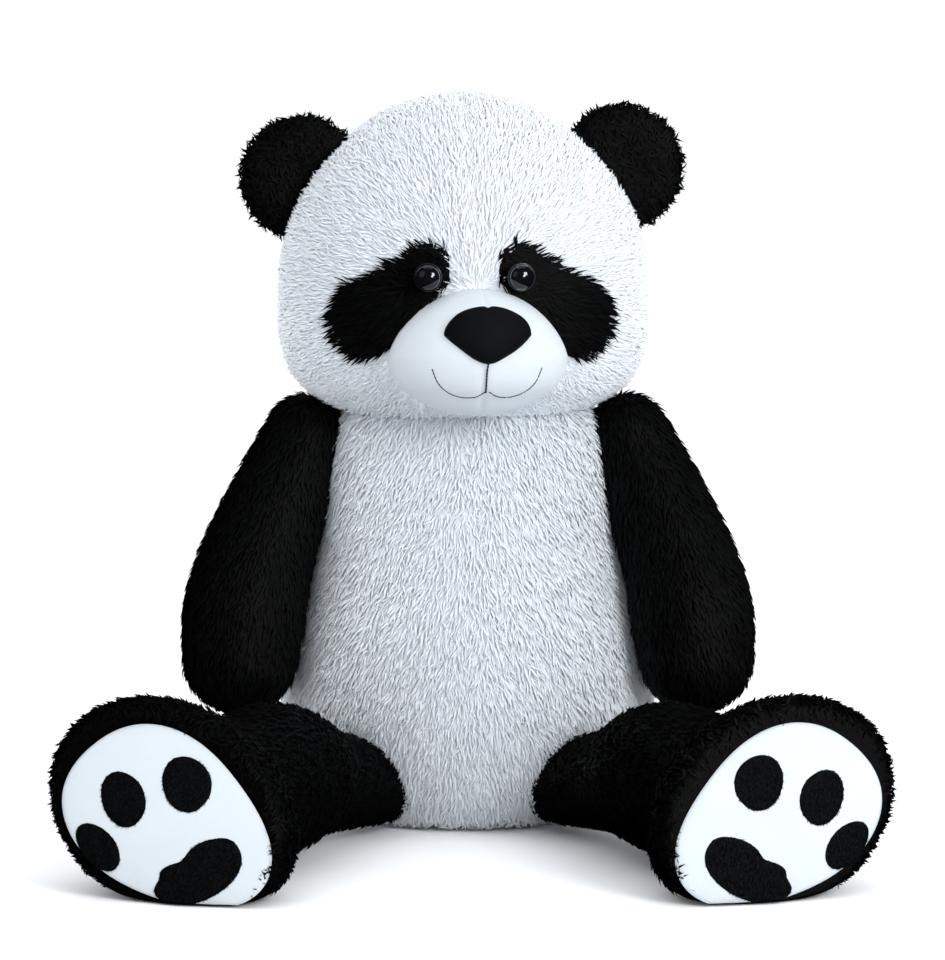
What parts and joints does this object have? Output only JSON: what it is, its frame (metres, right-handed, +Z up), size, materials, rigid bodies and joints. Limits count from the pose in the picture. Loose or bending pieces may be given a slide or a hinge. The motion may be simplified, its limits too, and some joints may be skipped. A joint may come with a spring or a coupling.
{
  "type": "plush panda",
  "caption": "Large seated plush panda with turning head, flexing ears, swinging arms, liftable legs, padded soles, domed eyes and a stitched mouth.",
  "frame": {"origin": "middle of the flat underside of the seat, on the floor, on the plane that divides the body into left and right", "axes": "+Z up; the panda faces -Y; +X is towards its own left side"},
  "size_m": [0.7108, 0.6091, 0.674],
  "materials": {
    "white_pile": "long white pile on a knitted backing",
    "black_pile": "long black pile on a knitted backing",
    "white_short_pile": "short smooth white pile",
    "black_short_pile": "short matt black fabric",
    "stuffing": "loose polyester filling",
    "eye_gloss": "polished black plastic",
    "washer_plastic": "plain moulded plastic",
    "black_thread": "thick black embroidery thread",
    "label_tape": "plain woven tape, blank"
  },
  "bodies": {
    "torso": {"back_panel_left": "white_pile", "back_panel_right": "white_pile", "belly_panel_left": "white_pile", "belly_panel_right": "white_pile", "blank_label": "label_tape", "seat_panel": "white_pile", "tail": "white_pile", "torso_stuffing": "stuffing"},
    "neck": {"neck_stuffing": "stuffing"},
    "head": {"eye_left": "eye_gloss", "eye_patch_left": "black_pile", "eye_patch_right": "black_pile", "eye_right": "eye_gloss", "eye_washer_left": "washer_plastic", "eye_washer_right": "washer_plastic", "head_back_panel_left": "white_pile", "head_back_panel_right": "white_pile", "head_face_panel_left": "white_pile", "head_face_panel_right": "white_pile", "head_stuffing": "stuffing", "mouth_stitch_left": "black_thread", "mouth_stitch_middle": "black_thread", "mouth_stitch_right": "black_thread", "muzzle_cover": "white_short_pile", "muzzle_stuffing": "stuffing", "nose": "black_short_pile"},
    "ear_left": {"ear_back_left": "black_pile", "ear_front_left": "black_pile", "ear_stuffing_left": "stuffing"},
    "ear_right": {"ear_back_right": "black_pile", "ear_front_right": "black_pile", "ear_stuffing_right": "stuffing"},
    "arm_left": {"arm_inner_panel_left": "black_pile", "arm_outer_panel_left": "black_pile", "arm_stuffing_left": "stuffing"},
    "arm_right": {"arm_inner_panel_right": "black_pile", "arm_outer_panel_right": "black_pile", "arm_stuffing_right": "stuffing"},
    "leg_left": {"heel_pad_left": "black_short_pile", "leg_stuffing_left": "stuffing", "leg_under_panel_left": "black_pile", "leg_upper_panel_left": "black_pile", "sole_left": "white_short_pile", "toe_pad_inner_left": "black_short_pile", "toe_pad_middle_left": "black_short_pile", "toe_pad_outer_left": "black_short_pile"},
    "leg_right": {"heel_pad_right": "black_short_pile", "leg_stuffing_right": "stuffing", "leg_under_panel_right": "black_pile", "leg_upper_panel_right": "black_pile", "sole_right": "white_short_pile", "toe_pad_inner_right": "black_short_pile", "toe_pad_middle_right": "black_short_pile", "toe_pad_outer_right": "black_short_pile"}
  },
  "joints": [
    {"name": "neck_turn", "type": "hinge", "parent": "torso", "child": "neck", "pos_m": [0, 0, 0.36], "axis": [0, 0, 1], "range_deg": [-20, 20]},
    {"name": "head_nod", "type": "hinge", "parent": "neck", "child": "head", "pos_m": [0, 0, 0.36], "axis": [0.9981, 0.061, 0], "range_deg": [-6, 8]},
    {"name": "ear_flex_left", "type": "hinge", "parent": "head", "child": "ear_left", "pos_m": [0.12387, 0.0196, 0.57163], "axis": [0.7865, 0.0481, -0.6157], "range_deg": [-12, 12], "stiffness_Nm_per_rad": 0.25},
    {"name": "shoulder_left", "type": "hinge", "parent": "torso", "child": "arm_left", "pos_m": [0.146, -0.014, 0.322], "axis": [0.9426, -0.2507, 0.2206], "range_deg": [-70, 5]},
    {"name": "hip_left", "type": "hinge", "parent": "torso", "child": "leg_left", "pos_m": [0.114, -0.096, 0.073], "axis": [1, 0, 0], "range_deg": [-18, 0]},
    {"name": "ear_flex_right", "type": "hinge", "parent": "head", "child": "ear_right", "pos_m": [-0.12534, 0.00436, 0.57163], "axis": [0.7865, 0.0481, 0.6157], "range_deg": [-12, 12], "stiffness_Nm_per_rad": 0.25},
    {"name": "shoulder_right", "type": "hinge", "parent": "torso", "child": "arm_right", "pos_m": [-0.146, -0.014, 0.322], "axis": [0.9426, 0.2507, -0.2206], "range_deg": [-70, 5]},
    {"name": "hip_right", "type": "hinge", "parent": "torso", "child": "leg_right", "pos_m": [-0.114, -0.096, 0.073], "axis": [1, 0, 0], "range_deg": [-18, 0]}
  ]
}
